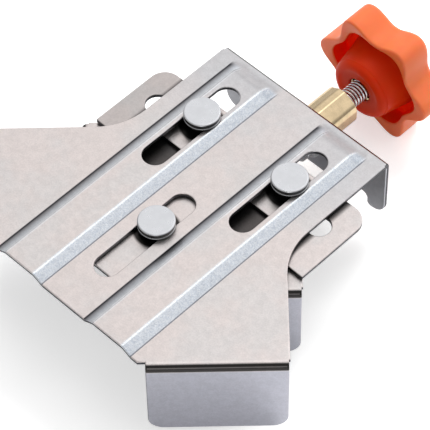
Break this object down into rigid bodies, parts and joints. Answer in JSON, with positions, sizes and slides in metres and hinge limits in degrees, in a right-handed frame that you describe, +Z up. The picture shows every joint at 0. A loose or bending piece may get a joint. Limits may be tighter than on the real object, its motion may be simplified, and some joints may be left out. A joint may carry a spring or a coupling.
{
  "type": "corner clamp",
  "caption": "Pressed-steel corner clamp: fixed and sliding 45-degree jaws hold two boards square, driven by a threaded spindle with an orange star knob.",
  "frame": {"origin": "middle of the bounding box, at its base", "axes": "+Y along the spindle towards the knob, +Z up through the pin heads, X across the clamp"},
  "size_m": [0.132, 0.1518, 0.0416],
  "materials": {
    "pressed_steel": "satin zinc-coated sheet",
    "pin_steel": "satin turned steel",
    "zinc_plate": "bright zinc plate",
    "brass": "turned brass",
    "orange_plastic": "semi-gloss moulded plastic"
  },
  "bodies": {
    "frame": {"top_plate": "pressed_steel"},
    "slider": {"guide_plate": "pressed_steel", "jaw_plate": "pressed_steel", "guide_pin_front": "pin_steel", "guide_pin_left": "pin_steel", "guide_pin_right": "pin_steel", "pin_washer_front": "zinc_plate", "pin_washer_left": "zinc_plate", "pin_washer_right": "zinc_plate", "carrier_nut": "zinc_plate"},
    "screw": {"spindle": "zinc_plate", "lock_nut": "zinc_plate", "thrust_washer_inner": "zinc_plate", "thrust_washer_outer": "zinc_plate", "collar_nut": "brass", "star_knob": "orange_plastic", "knob_insert": "brass"}
  },
  "joints": [
    {"name": "knob_turn", "type": "hinge", "parent": "frame", "child": "screw", "pos_m": [0, 0.0431, 0.02079], "axis": [0, -1, 0], "range_deg": [-3168, 6048]},
    {"name": "jaw_slide", "type": "slide", "parent": "frame", "child": "slider", "axis": [0, -1, 0], "range_m": [-0.011, 0.021]}
  ],
  "couplings": [
    {"joint": "knob_turn", "follows": "jaw_slide", "rad_per_m": 5026.5}
  ]
}
